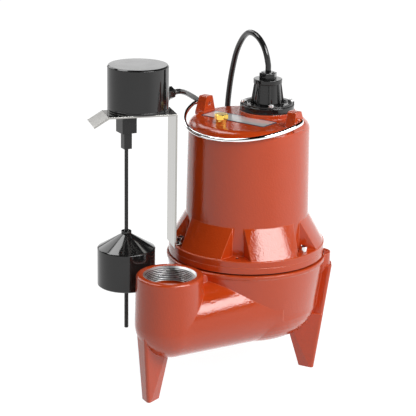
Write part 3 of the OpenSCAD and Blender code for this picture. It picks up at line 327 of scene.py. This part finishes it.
NODE_MATERIALS = {
    "volute_casing": PAINT, "seal_plate": PAINT, "motor_housing": PAINT,
    "volute_gasket": GASKET, "housing_oring": GASKET,
    "cord_plate_gasket": GASKET, "housing_bolts": STEEL,
    "cord_plate_screws": STEEL, "impeller_nut": STEEL,
    "oil_fill_plug": BRASS, "cord_plate": BLACK, "cord_nut": BLACK,
    "switch_base": BLACK, "switch_housing": BLACK,
    "switch_gland": BLACK, "rod_guide": GLAND_BLACK, "switch_float": BLACK,
    "float_clips": BLACK, "stator_core": CORE, "rotor_core": CORE,
    "stator_windings": COPPER, "thermal_protector": PALE,
    "capacitor_cradle": PALE, "run_capacitor": PALE,
    "upper_bearing": SHAFT, "lower_bearing": SHAFT, "motor_shaft": SHAFT,
    "seal_head": SHAFT, "seal_seat": CERAMIC, "impeller": IRON,
    "bail_handle": CHROME, "switch_bracket": SHEET, "snap_switch": GREY,
    "float_rod": GLAND_BLACK, "rod_magnet": MAGNET,
    "power_cord": RUBBER, "power_cord_coil": RUBBER,
    "power_cord_ties": GLAND_BLACK, "power_cord_tail": RUBBER,
    "power_plug": RUBBER, "switch_cord": RUBBER,
    "switch_cord_coil": RUBBER, "switch_cord_ties": GLAND_BLACK,
    "switch_cord_tail": RUBBER, "piggyback_plug": RUBBER,
}
for name, material in NODE_MATERIALS.items():
    mesh = NODES[name].data
    mesh.materials.clear()
    mesh.materials.append(material)


# ---------------------------------------------------------------------
# Mesh helpers
def new_piece(name, points, faces, material, body, smooth=True):
    """A piece of the scene that rides on a body of the frame."""
    mesh = bpy.data.meshes.new(name)
    mesh.from_pydata([tuple(p) for p in points], [], faces)
    mesh.materials.append(material)
    mesh.polygons.foreach_set("use_smooth", [smooth] * len(mesh.polygons))
    piece = bpy.data.objects.new(name, mesh)
    bpy.context.scene.collection.objects.link(piece)
    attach(piece, body)
    return piece


def tube_mesh(path, radius, sides=12):
    """Points and faces of a tube along a path, closed at both ends."""
    path = [Vector(p) for p in path]
    points, faces = [], []
    side = None
    count = len(path)
    for i, p in enumerate(path):
        ahead = path[min(i + 1, count - 1)]
        behind = path[max(i - 1, 0)]
        d = (ahead - behind).normalized()
        if side is None:
            side = d.orthogonal()
        side = (side - side.dot(d) * d).normalized()
        other = d.cross(side)
        for k in range(sides):
            a = 2 * math.pi * k / sides
            points.append(p + radius * (math.cos(a) * side
                                        + math.sin(a) * other))
    for i in range(count - 1):
        for k in range(sides):
            a, b = i * sides + k, i * sides + (k + 1) % sides
            faces.append((a, b, b + sides, a + sides))
    faces.append(tuple(range(sides - 1, -1, -1)))
    faces.append(tuple((count - 1) * sides + k for k in range(sides)))
    return points, faces


def smooth_path(points, steps):
    """Catmull-Rom curve through the points, with even parts."""
    pts = [Vector(p) for p in points]
    out = []
    for i in range(len(pts) - 1):
        p1, p2 = pts[i], pts[i + 1]
        p0 = pts[i - 1] if i else 2 * p1 - p2
        p3 = pts[i + 2] if i + 2 < len(pts) else 2 * p2 - p1
        for s in range(steps):
            t = s / steps
            out.append(0.5 * ((2 * p1) + (p2 - p0) * t
                              + (2 * p0 - 5 * p1 + 4 * p2 - p3) * t * t
                              + (3 * p1 - p0 - 3 * p2 + p3) * t ** 3))
    out.append(pts[-1])
    return out


# ---------------------------------------------------------------------
# Cords: routes, coils and tails as in the source of the solids, in mm of
# the pump's frame
COIL_GAP = 0.5     # between turns that lie side by side
COIL_LAYERS = 4
COIL_RINGS = 48    # points for each turn
TIE = 1.0          # thickness of the ties under the coil
TAIL_BEND = 4.3    # radius of the tail's bend, in diameters
TAIL_STEPS = 16
ROUTE_STEPS = 3    # parts between two points of a route
POWER = {
    "d": 7.0, "mid": 77.2, "turns": 10.12, "at": (104, 124), "start": 139,
    "exit": (30.9, 11.7, 357.5), "out": (0, 0, 1), "plug_h": 22,
    "route": [
        (30.5, 12, 367.8), (29.8, 13.1, 373.9), (29, 15.1, 380),
        (28.3, 18.5, 386), (27.5, 23.6, 391.3), (26.8, 30.4, 395.5),
        (26.5, 39.7, 398), (26.6, 50.1, 397.4), (27.2, 60.1, 393.1),
        (27.8, 69.1, 386.1), (27.9, 76.4, 377.6), (28, 82.9, 367.5),
        (28.2, 88.1, 356.4), (28, 91.9, 344.6), (27.3, 94.3, 332.6),
        (26.5, 95.8, 320.1), (25.8, 96.9, 307.5), (25.2, 97.6, 291),
        (24.6, 98.1, 271), (24, 98.5, 249), (23.4, 98.8, 227),
        (22.8, 99.1, 205), (22.2, 99.3, 184), (21.6, 99.4, 163),
        (21.2, 99.5, 143), (21, 99.5, 122), (21, 99.5, 101),
        (21, 99.5, 80), (21, 99.6, 62), (21.3, 100.3, 46), (24, 103.5, 30),
        (30, 110.5, 16.5), (39, 121, 7), (50, 134.5, 3.9)],
}
SWITCH_AT = (-124.6, 38.4)
GLAND_REACH = 55.4
GLAND_ANGLE = math.radians(15)
GLAND_OUT = (math.cos(GLAND_ANGLE), math.sin(GLAND_ANGLE), 0)
SWITCH = {
    "d": 6.5, "mid": 67.0, "turns": 12.2, "at": (8, 166), "start": 190,
    "exit": (SWITCH_AT[0] + GLAND_REACH * GLAND_OUT[0],
             SWITCH_AT[1] + GLAND_REACH * GLAND_OUT[1], 334),
    "out": GLAND_OUT, "plug_h": 26,
    "route": [
        (-60.3, 57.1, 332.9), (-55.4, 60.4, 331.2), (-50.3, 64.6, 329),
        (-44.2, 69.7, 326), (-37.6, 74.5, 322.4), (-31, 78.8, 318.5),
        (-24.3, 82.6, 314), (-18.1, 86.1, 308.8), (-13.4, 89.3, 301.6),
        (-10.4, 91.8, 293.1), (-8.7, 93.7, 283.5), (-8.1, 94.9, 272.1),
        (-8.3, 95.6, 258), (-9.2, 96, 240), (-10.5, 96.4, 220),
        (-12.4, 97, 200), (-14.8, 97.7, 180), (-17.4, 98.4, 160),
        (-20, 99.2, 140), (-22.2, 99.8, 120), (-23.8, 100, 100),
        (-24.7, 100, 80), (-25, 100, 62), (-25, 100.4, 43),
        (-25.5, 103, 27.7), (-27, 111.5, 14.7), (-29.3, 124.3, 6.2),
        (-31.5, 137.5, 3.8)],
}


def heading(angle):
    """The way that a coil's turn runs at an angle round its middle."""
    a = math.radians(angle)
    return Vector((math.sin(a), -math.cos(a), 0))


def coil_points(cord):
    """Layers of turns that spiral in and out, as in the solids."""
    d, turns = cord["d"], cord["turns"]
    step = d + COIL_GAP
    per = turns / COIL_LAYERS
    outer = (cord["mid"] + step * per) / 2
    count = round(turns * COIL_RINGS)
    points = []
    for i in range(count + 1):
        u = turns * i / count
        layer = min(int(u // per), COIL_LAYERS - 1)
        f = u - layer * per
        inward = f if layer % 2 == 0 else per - f
        r = outer - step * inward
        z = sum(min(max((u - k * per) * 2 + 0.5, 0), 1)
                for k in range(1, COIL_LAYERS))
        a = math.radians(cord["start"] - 360 * u)
        points.append(Vector((cord["at"][0] + r * math.cos(a),
                              cord["at"][1] + r * math.sin(a),
                              TIE + d / 2 + step * z)))
    return points


def cord_path(cord):
    """The centre line from the gland to the plug."""
    d = cord["d"]
    leave = Vector(cord["exit"])
    coil = coil_points(cord)
    turn_in = heading(cord["start"])
    last = cord["start"] - 360 * cord["turns"]
    turn_out = heading(last)
    free = [leave, leave + d * Vector(cord["out"])]
    free += [Vector(p) for p in cord["route"]]
    free += [coil[0] - 2 * d * turn_in, coil[0] - d * turn_in]
    path = smooth_path(free, ROUTE_STEPS) + coil
    end = coil[-1] + d * turn_out
    path.append(end)
    r = TAIL_BEND * d
    a0 = math.radians(last - 90)
    rise = d / 2 + cord["plug_h"] / 2
    lead = end + d * turn_out
    tail = []
    for i in range(TAIL_STEPS + 1):
        f = i / TAIL_STEPS
        a = a0 - math.pi / 2 * f
        tail.append(lead + Vector((r * (math.sin(a0) - math.sin(a)),
                                   r * (math.cos(a) - math.cos(a0)),
                                   rise * f * f * (3 - 2 * f))))
    forward = Vector((math.sin(a0), -math.cos(a0), 0))
    return path + tail + [tail[-1] + d * forward]


def length_of(path):
    return sum((b - a).length for a, b in zip(path, path[1:]))


def make_cord(name, cord, nodes):
    """A lead that stands for its solids, with its plug and ties on it."""
    path = cord_path(cord)
    print(name, "length mm", round(length_of(path), 1))
    metres = [at(*p) for p in path]
    points, faces = tube_mesh(metres, cord["d"] / 2000)
    piece = new_piece(name, points, faces, RUBBER, "pump")
    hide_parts(*nodes)
    at(*cord["exit"])


make_cord("power_lead", POWER,
          ("power_cord", "power_cord_coil", "power_cord_tail"))
make_cord("switch_lead", SWITCH,
          ("switch_cord", "switch_cord_coil", "switch_cord_tail"))


# ---------------------------------------------------------------------
# Small pieces, in mm of the pump's frame
PORT = (-124.5, -45)
Z_PORT = 149.0
THREAD_L = 17.6
PORT_PITCH = 25.4 / 11.5
PORT_ROOT_R = 28.38
PORT_DEPTH = 1.15
CREST_FLAT = 1.3           # over 1, the flanks end in a flat crest
CHAMFER = 2.4
CHAMFER_R = (28.4, 30.95)  # its foot and the mouth's rim
# The share of a pitch below is painted dark in the roots as shade.
ROOT_SHADE_SHARE = 0.2         # of a pitch, on each side of the root


def rings_mesh(rings, columns):
    """Faces between rings of points, each ring closed round the axis."""
    faces = []
    for j in range(rings - 1):
        for i in range(columns):
            a, b = j * columns + i, j * columns + (i + 1) % columns
            faces.append((a, a + columns, b + columns, b))
    return faces


def make_port_thread():
    """Pipe thread: flanks, flat crests and a chamfer at the mouth, with
    painted shade in the roots.
    """
    columns, per_pitch = 144, 8
    rows = round(THREAD_L / PORT_PITCH * per_pitch)
    low = Z_PORT - THREAD_L
    top = Z_PORT - CHAMFER
    points = []

    def add(r, z, i):
        a = 2 * math.pi * i / columns
        points.append(at(PORT[0] + r * math.cos(a), PORT[1] + r * math.sin(a),
                         z))

    for j in range(rows + 1):
        z = low + (top - low) * j / rows
        for i in range(columns):
            wave = (z / PORT_PITCH - i / columns) % 1.0
            depth = min((1 - abs(2 * wave - 1)) * CREST_FLAT, 1.0)
            add(PORT_ROOT_R - PORT_DEPTH * depth, z, i)
    for r, z in zip(CHAMFER_R, (top + 0.02, Z_PORT - 0.08)):
        for i in range(columns):
            add(r, z, i)
    faces = rings_mesh(rows + 3, columns)
    piece = new_piece("port_thread", points, faces, THREAD, "pump", False)
    # The roots' faces take the dark colour: painted shade.
    piece.data.materials.append(THREAD_ROOT_SHADE)
    root_shade = []
    for j in range(rows + 2):
        z = low + (top - low) * (j + 0.5) / rows
        for i in range(columns):
            wave = (z / PORT_PITCH - (i + 0.5) / columns) % 1.0
            root = wave < ROOT_SHADE_SHARE or wave > 1 - ROOT_SHADE_SHARE
            root_shade.append(int(j < rows and root))
    piece.data.polygons.foreach_set("material_index", root_shade)


ROD = (-143.8, 28.8)
ROD_THREAD_LOW = 62.3
ROD_THREAD_L = 50.0
ROD_PITCH = 1.25
ROD_ROOT_R = 2.22
ROD_DEPTH = 0.33
ROD_END_R = 2.1  # inside the rod, where the thread's ends run out


def make_rod_thread():
    """Rolled thread on the rod's lower end."""
    columns, per_pitch = 24, 6
    rows = round(ROD_THREAD_L / ROD_PITCH * per_pitch)
    points = []
    for j in range(rows + 1):
        z = ROD_THREAD_LOW + ROD_THREAD_L * j / rows
        for i in range(columns):
            wave = (z / ROD_PITCH - i / columns) % 1.0
            r = ROD_ROOT_R + ROD_DEPTH * (1 - abs(2 * wave - 1))
            if j in (0, rows):
                r = ROD_END_R
            a = 2 * math.pi * i / columns
            points.append(at(ROD[0] + r * math.cos(a),
                             ROD[1] + r * math.sin(a), z))
    faces = [tuple(reversed(f)) for f in rings_mesh(rows + 1, columns)]
    piece = new_piece("rod_thread", points, faces, GLAND_BLACK, "float",
                      False)


Z_FLANGE_TOP = 162.2
JACK_ANGLES = (232.8, 352.8, 112.8)
JACK_R = 78.5
# Radius and height over the flange of each ring, and whether it is hexagonal
JACK_PROFILE = ((2.45, -5.0, False), (2.45, -0.9, False), (2.05, -0.5, False),
                (1.45, -0.5, True), (1.35, -3.0, True))


def make_jack_screws():
    """Set screws with a hexagon socket in the three jacking holes."""
    columns = 24
    points, faces = [], []
    for angle in JACK_ANGLES:
        first = len(points)
        a = math.radians(angle)
        middle = (JACK_R * math.cos(a), JACK_R * math.sin(a))
        for r, z, hexagon in JACK_PROFILE:
            for i in range(columns):
                t = 2 * math.pi * i / columns
                part = (t + math.pi / 6) % (math.pi / 3) - math.pi / 6
                reach = r / math.cos(part) if hexagon else r
                points.append(at(middle[0] + reach * math.cos(t),
                                 middle[1] + reach * math.sin(t),
                                 Z_FLANGE_TOP + z))
        for ring in range(len(JACK_PROFILE) - 1):
            for i in range(columns):
                p = first + ring * columns + i
                q = first + ring * columns + (i + 1) % columns
                faces.append((p, q, q + columns, p + columns))
        last = len(points) - columns
        faces.append(tuple(range(first + columns - 1, first - 1, -1)))
        faces.append(tuple(range(last, last + columns)))
    piece = new_piece("jack_screws", points, faces, STEEL, "pump", False)


Z_TOP = 307.5
PLATE_AT = (-12.9, 1.3)
PLATE_SIZE = (89.0, 28.6)
PLATE_ANGLE = math.radians(-65.1)
PLATE_T = 0.5
PLATE_LIFT = 0.02  # over the housing's top
PLATE_BORDER = 1.5
DISH = (0.4, 0.12)  # how much smaller and how deep the bare face is
CORNER_R = (2.0, 1.2)  # of the plate and of its bare face


def rounded_outline(length, width, radius, steps=5):
    """A rectangle's outline with round corners, about its middle."""
    out = []
    for k, (sx, sy) in enumerate(((1, 1), (-1, 1), (-1, -1), (1, -1))):
        for s in range(steps + 1):
            a = math.pi / 2 * (k + s / steps)
            out.append((sx * (length / 2 - radius) + radius * math.cos(a),
                        sy * (width / 2 - radius) + radius * math.sin(a)))
    return out


def make_plate():
    """Bare plate: bordered face, its edge, and a slight dish inside."""
    turn = Matrix.Rotation(PLATE_ANGLE, 2)
    points, faces, kinds = [], [], []
    length, width = PLATE_SIZE
    face = (length - 2 * PLATE_BORDER, width - 2 * PLATE_BORDER)
    high = PLATE_LIFT + PLATE_T
    outlines = (
        (PLATE_SIZE, CORNER_R[0], PLATE_LIFT), (PLATE_SIZE, CORNER_R[0], high),
        (face, CORNER_R[1], high),
        ((face[0] - DISH[0], face[1] - DISH[0]), CORNER_R[1],
         high - DISH[1]))
    for (length, width), radius, z in outlines:
        for p in rounded_outline(length, width, radius):
            q = turn @ Vector(p)
            points.append(at(PLATE_AT[0] + q[0], PLATE_AT[1] + q[1],
                             Z_TOP + z))
    count = len(points) // len(outlines)
    for ring in range(len(outlines) - 1):
        for i in range(count):
            a, b = ring * count + i, ring * count + (i + 1) % count
            faces.append((a, b, b + count, a + count))
            kinds.append(1)
    last = (len(outlines) - 1) * count
    faces.append(tuple(range(last, last + count)))
    kinds.append(0)
    piece = new_piece("rating_plate", points, faces, PLATE, "pump", False)
    piece.data.materials.append(PLATE_EDGE)
    piece.data.polygons.foreach_set("material_index", kinds)


make_port_thread()
make_rod_thread()
make_jack_screws()
make_plate()


# ---------------------------------------------------------------------
# Stage, light and world
FLOOR_GLOW = 1.377
FLOOR_SHARE = 0.70  # of the glow in what the camera sees
FLOOR_GREY = 0.8
FLOOR_ROUGH = 0.9
FLOOR_REACH = 3.0


def floor_material():
    """White to the camera with a faint shadow, and open to reflections, so
    that metal shows the pale studio all round."""
    n = Nodes("stage_floor")
    path = n.add("ShaderNodeLightPath")
    glow = n.add("ShaderNodeEmission")
    glow.inputs["Strength"].default_value = FLOOR_GLOW
    n.bsdf.inputs["Base Color"].default_value = (*grey(FLOOR_GREY), 1)
    n.bsdf.inputs["Roughness"].default_value = FLOOR_ROUGH
    n.bsdf.inputs["Specular IOR Level"].default_value = 0.0
    seen = n.add("ShaderNodeMixShader")
    scaled = n.add("ShaderNodeMath", operation="MULTIPLY")
    scaled.inputs[1].default_value = FLOOR_SHARE
    n.link(path.outputs["Is Camera Ray"], scaled.inputs[0])
    n.link(scaled.outputs["Value"], seen.inputs["Fac"])
    n.link(n.bsdf.outputs["BSDF"], seen.inputs[1])
    n.link(glow.outputs["Emission"], seen.inputs[2])
    clear = n.add("ShaderNodeBsdfTransparent")
    mix = n.add("ShaderNodeMixShader")
    n.link(path.outputs["Is Glossy Ray"], mix.inputs["Fac"])
    n.link(seen.outputs["Shader"], mix.inputs[1])
    n.link(clear.outputs["BSDF"], mix.inputs[2])
    n.link(mix.outputs["Shader"],
           n.tree.nodes["Material Output"].inputs["Surface"])
    return n.material


def make_floor():
    """A wide flat floor at the height of the feet."""
    mesh = bpy.data.meshes.new("floor")
    r = FLOOR_REACH
    mesh.from_pydata([(-r, -r, 0), (r, -r, 0), (r, r, 0), (-r, r, 0)], [],
                     [(0, 1, 2, 3)])
    mesh.materials.append(floor_material())
    floor = bpy.data.objects.new("floor", mesh)
    bpy.context.scene.collection.objects.link(floor)


KEY_AT = at(347, -1137, 1060)
KEY_TARGET = at(0, 0, 180)
KEY_SIZE = (1.22, 0.57)
KEY_POWER = 14.8


def make_key_light():
    """A large soft lamp, high up on the right of the camera."""
    data = bpy.data.lights.new("key", "AREA")
    data.shape = "RECTANGLE"
    data.size, data.size_y = KEY_SIZE
    data.energy = KEY_POWER
    lamp = bpy.data.objects.new("key", data)
    bpy.context.scene.collection.objects.link(lamp)
    aim = (KEY_TARGET - KEY_AT).normalized()
    lamp.matrix_world = (Matrix.Translation(KEY_AT)
                         @ aim.to_track_quat("-Z", "Y").to_matrix().to_4x4())


# Azimuths and heights are in degrees, and 1 is the strength of white.
AHEAD = 60          # azimuth that the camera looks towards
TO_RIGHT = AHEAD - 75
AMBIENT_LOW = 0.05  # what matt surfaces get from the horizon and from above
AMBIENT_HIGH = 0.43
SWEEP_LOW = 1.45    # the pale sweep straight below and at the horizon
SWEEP_EDGE = 1.04
SWEEP_RIGHT = 0.42  # more of it on the right
SWEEP_BACK = 1.6
LAMP = (133, 62)
LAMP_GLOW = 7.0
CARD = (98, 32)
CARD_GLOW = 2.8
KEY_AZIMUTH = -73
WINDOW_GLOW = 6.8


class WorldNodes:
    """Short names for the world's nodes, on the direction of the ray."""

    def __init__(self, tree):
        self.tree = tree
        place = self.new("ShaderNodeTexCoord")
        self.way = place.outputs["Generated"]
        parts = self.new("ShaderNodeSeparateXYZ")
        tree.links.new(self.way, parts.inputs["Vector"])
        self.z = parts.outputs["Z"]

    def new(self, kind):
        return self.tree.nodes.new(kind)

    def math(self, operation, *values):
        node = self.new("ShaderNodeMath")
        node.operation = operation
        for socket, value in zip(node.inputs, values):
            if isinstance(value, bpy.types.NodeSocket):
                self.tree.links.new(value, socket)
            else:
                socket.default_value = value
        return node.outputs["Value"]

    def step(self, value, low, high, start=0.0, end=1.0):
        """Smooth step from start at low to end at high."""
        node = self.new("ShaderNodeMapRange")
        node.interpolation_type = "SMOOTHSTEP"
        for name, number in (("From Min", low), ("From Max", high),
                             ("To Min", start), ("To Max", end)):
            node.inputs[name].default_value = number
        self.tree.links.new(value, node.inputs["Value"])
        return node.outputs["Result"]

    def towards(self, azimuth, height=0.0):
        """Cosine between the ray and a direction."""
        a, e = math.radians(azimuth), math.radians(height)
        node = self.new("ShaderNodeVectorMath")
        node.operation = "DOT_PRODUCT"
        self.tree.links.new(self.way, node.inputs[0])
        node.inputs[1].default_value = (
            math.cos(a) * math.cos(e), math.sin(a) * math.cos(e),
            math.sin(e))
        return node.outputs["Value"]

    def background(self, strength):
        """White light of a strength that may change with the ray."""
        node = self.new("ShaderNodeBackground")
        if isinstance(strength, bpy.types.NodeSocket):
            self.tree.links.new(strength, node.inputs["Strength"])
        else:
            node.inputs["Strength"].default_value = strength
        node.inputs["Color"].default_value = (1, 1, 1, 1)
        return node.outputs["Background"]

    def mix(self, factor, first, second):
        node = self.new("ShaderNodeMixShader")
        self.tree.links.new(factor, node.inputs["Fac"])
        self.tree.links.new(first, node.inputs[1])
        self.tree.links.new(second, node.inputs[2])
        return node.outputs["Shader"]


def studio(w):
    """What a reflection sees: a pale sweep that is brighter below, behind
    and on the right, a dark ceiling with a lamp, a card at the back on the
    left, and the soft window of the key light. Limits on w.z are sines of
    the height, and those on towards are cosines of the angle off it."""
    floor = w.step(w.z, -0.75, -0.20, SWEEP_LOW, SWEEP_EDGE)
    right = w.step(w.towards(TO_RIGHT), 0.40, 0.95)
    behind = w.step(w.towards(AHEAD), 0.84, 0.95)
    high = w.math("ADD", w.math("MULTIPLY", right, 0.34), 0.14)
    top = w.step(w.math("SUBTRACT", w.z, high), -0.10, 0.12, 1.0, 0.0)
    back = w.math("MULTIPLY", behind, w.step(w.z, 0.21, 0.25, 1.0, 0.0))
    sweep = w.math("MULTIPLY", top, w.math(
        "ADD", floor, w.math("MULTIPLY", right, SWEEP_RIGHT)))
    sweep = w.math("MAXIMUM", sweep, w.math("MULTIPLY", back, SWEEP_BACK))
    lamp = w.math("MULTIPLY", w.step(w.towards(*LAMP), 0.955, 0.975),
                  LAMP_GLOW)
    card = w.math("MULTIPLY", w.step(w.towards(*CARD), 0.93, 0.96),
                  CARD_GLOW)
    side = w.towards(KEY_AZIMUTH + 90)
    wide = w.math("MULTIPLY", w.step(side, -0.36, -0.33),
                  w.step(side, 0.33, 0.36, 1.0, 0.0))
    tall = w.math("MULTIPLY", w.step(w.z, 0.39, 0.42),
                  w.step(w.z, 0.76, 0.79, 1.0, 0.0))
    ahead = w.step(w.towards(KEY_AZIMUTH), 0.0, 0.05)
    window = w.math("MULTIPLY", w.math("MULTIPLY", wide, tall), ahead)
    lights = w.math("ADD", w.math("MULTIPLY", window, WINDOW_GLOW),
                    w.math("ADD", lamp, card))
    return w.math("ADD", sweep, lights)


def make_world():
    """White to the camera, the studio to reflections, and a soft sky that
    is brighter above to matt surfaces."""
    world = bpy.data.worlds.new("world")
    bpy.context.scene.world = world
    world.use_nodes = True
    tree = world.node_tree
    tree.nodes.clear()
    w = WorldNodes(tree)
    path = w.new("ShaderNodeLightPath")
    ambient = w.step(w.z, 0.0, 0.9, AMBIENT_LOW, AMBIENT_HIGH)
    shiny = w.mix(path.outputs["Is Glossy Ray"], w.background(ambient),
                  w.background(studio(w)))
    both = w.mix(path.outputs["Is Camera Ray"], shiny, w.background(1.0))
    out = w.new("ShaderNodeOutputWorld")
    tree.links.new(both, out.inputs["Surface"])


make_floor()
make_world()
make_key_light()
bpy.context.scene.view_settings.view_transform = "Standard"
